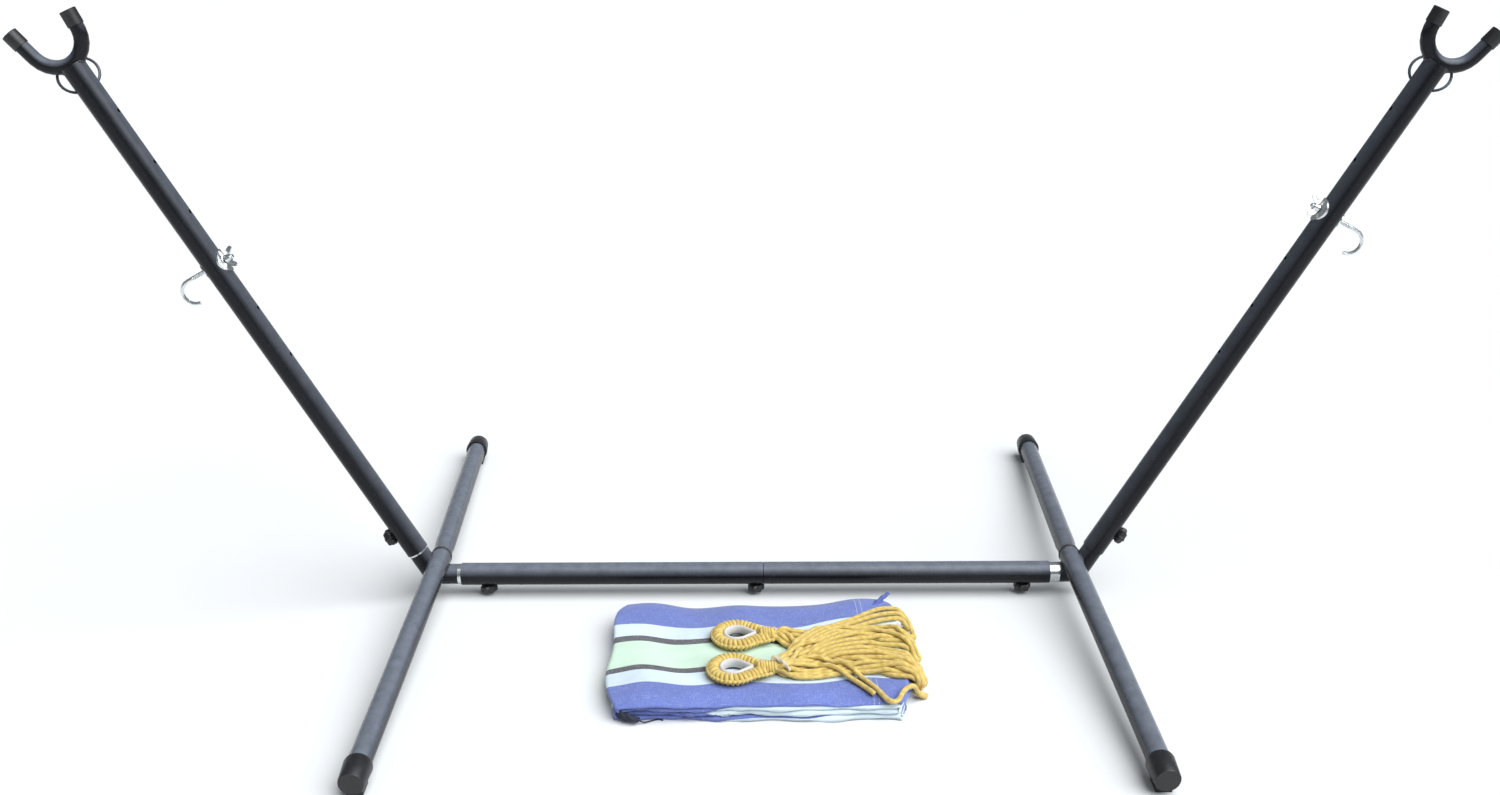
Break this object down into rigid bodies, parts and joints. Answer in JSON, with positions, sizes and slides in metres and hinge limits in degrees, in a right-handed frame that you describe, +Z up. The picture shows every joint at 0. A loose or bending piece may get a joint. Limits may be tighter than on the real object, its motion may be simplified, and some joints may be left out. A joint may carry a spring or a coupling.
{
  "type": "hammock stand",
  "caption": "Knock-down steel tube stand on two splayed feet, with leaning arms, forks and hooks for a hammock; a striped cloth hammock with rope ends lies folded on the floor in front",
  "frame": {"origin": "on the floor under the middle of the beam", "axes": "+X along the beam to the picture's right, +Y to the back, +Z up"},
  "size_m": [2.489, 1.2831, 1.1002],
  "materials": {
    "black_powder_coat": "satin black powder coat with fine orange peel",
    "zinc": "bright zinc plate",
    "black_plastic": "moulded, lightly grained",
    "striped_cloth": "plain-woven cotton, heathered blue, pale cyan and pale green stripes with thin grey lines",
    "mustard_rope": "twisted polyester-cotton cord"
  },
  "bodies": {
    "stand": {"left_foot_front_tube": "black_powder_coat", "left_foot_rear_tube": "black_powder_coat", "left_foot_front_cap": "black_plastic", "left_foot_rear_cap": "black_plastic", "left_arm_stub": "black_powder_coat", "left_beam_stub": "black_powder_coat", "left_arm_tube": "black_powder_coat", "left_fork": "black_powder_coat", "left_fork_outer_cap": "black_plastic", "left_fork_inner_cap": "black_plastic", "left_hook_saddle": "zinc", "left_hook_washer": "zinc", "left_arm_knob_weld_nut": "zinc", "right_foot_front_tube": "black_powder_coat", "right_foot_rear_tube": "black_powder_coat", "right_foot_front_cap": "black_plastic", "right_foot_rear_cap": "black_plastic", "right_arm_stub": "black_powder_coat", "right_beam_stub": "black_powder_coat", "right_arm_tube": "black_powder_coat", "right_fork": "black_powder_coat", "right_fork_outer_cap": "black_plastic", "right_fork_inner_cap": "black_plastic", "right_hook_saddle": "zinc", "right_hook_washer": "zinc", "right_arm_knob_weld_nut": "zinc", "beam_left_knob_weld_nut": "zinc", "beam_middle_knob_weld_nut": "zinc", "beam_right_knob_weld_nut": "zinc", "beam_left_tube": "black_powder_coat", "beam_right_tube": "black_powder_coat"},
    "left_arm_knob": {"left_arm_knob_head": "black_plastic", "left_arm_knob_stud": "zinc"},
    "left_hook": {"left_hook": "zinc"},
    "left_wing_nut": {"left_wing_nut": "zinc"},
    "left_ring": {"left_ring": "black_powder_coat"},
    "right_arm_knob": {"right_arm_knob_head": "black_plastic", "right_arm_knob_stud": "zinc"},
    "right_hook": {"right_hook": "zinc"},
    "right_wing_nut": {"right_wing_nut": "zinc"},
    "right_ring": {"right_ring": "black_powder_coat"},
    "beam_left_knob": {"beam_left_knob_head": "black_plastic", "beam_left_knob_stud": "zinc"},
    "beam_middle_knob": {"beam_middle_knob_head": "black_plastic", "beam_middle_knob_stud": "zinc"},
    "beam_right_knob": {"beam_right_knob_head": "black_plastic", "beam_right_knob_stud": "zinc"},
    "hammock": {"hammock_bed": "striped_cloth", "rope_eye_upper": "mustard_rope", "rope_eye_lower": "mustard_rope", "rope_strands_upper": "mustard_rope", "rope_strands_lower": "mustard_rope"}
  },
  "joints": [
    {"name": "left_arm_knob_turn", "type": "hinge", "parent": "stand", "child": "left_arm_knob", "pos_m": [-0.68013, 0, 0.12527], "axis": [0.8763, 0, 0.4817], "continuous": true},
    {"name": "left_hook_turn", "type": "hinge", "parent": "stand", "child": "left_hook", "pos_m": [-0.94626, 0, 0.65566], "axis": [0.8763, 0, 0.4817], "continuous": true},
    {"name": "left_wing_nut_turn", "type": "hinge", "parent": "left_hook", "child": "left_wing_nut", "pos_m": [-0.92348, 0, 0.66819], "axis": [0.8763, 0, 0.4817], "continuous": true},
    {"name": "left_ring_swing", "type": "hinge", "parent": "stand", "child": "left_ring", "pos_m": [-1.11873, 0, 0.96938], "axis": [-0.7589, -0.5, -0.4172], "range_deg": [0, 118]},
    {"name": "right_arm_knob_turn", "type": "hinge", "parent": "stand", "child": "right_arm_knob", "pos_m": [0.68013, 0, 0.12527], "axis": [-0.8763, 0, 0.4817], "continuous": true},
    {"name": "right_hook_turn", "type": "hinge", "parent": "stand", "child": "right_hook", "pos_m": [0.99444, 0, 0.74329], "axis": [-0.8763, 0, 0.4817], "continuous": true},
    {"name": "right_wing_nut_turn", "type": "hinge", "parent": "right_hook", "child": "right_wing_nut", "pos_m": [0.97166, 0, 0.75582], "axis": [-0.8763, 0, 0.4817], "continuous": true},
    {"name": "right_ring_swing", "type": "hinge", "parent": "stand", "child": "right_ring", "pos_m": [1.11873, 0, 0.96938], "axis": [-0.7589, 0.5, 0.4172], "range_deg": [0, 118]},
    {"name": "beam_left_knob_turn", "type": "hinge", "parent": "stand", "child": "beam_left_knob", "pos_m": [-0.508, 0, 0.0217], "axis": [0, 0, 1], "continuous": true},
    {"name": "beam_middle_knob_turn", "type": "hinge", "parent": "stand", "child": "beam_middle_knob", "pos_m": [0, 0, 0.0217], "axis": [0, 0, 1], "continuous": true},
    {"name": "beam_right_knob_turn", "type": "hinge", "parent": "stand", "child": "beam_right_knob", "pos_m": [0.508, 0, 0.0217], "axis": [0, 0, 1], "continuous": true},
    {"name": "hammock_lift", "type": "slide", "parent": "stand", "child": "hammock", "axis": [0, 0, 1], "range_m": [0, 0.3]}
  ]
}
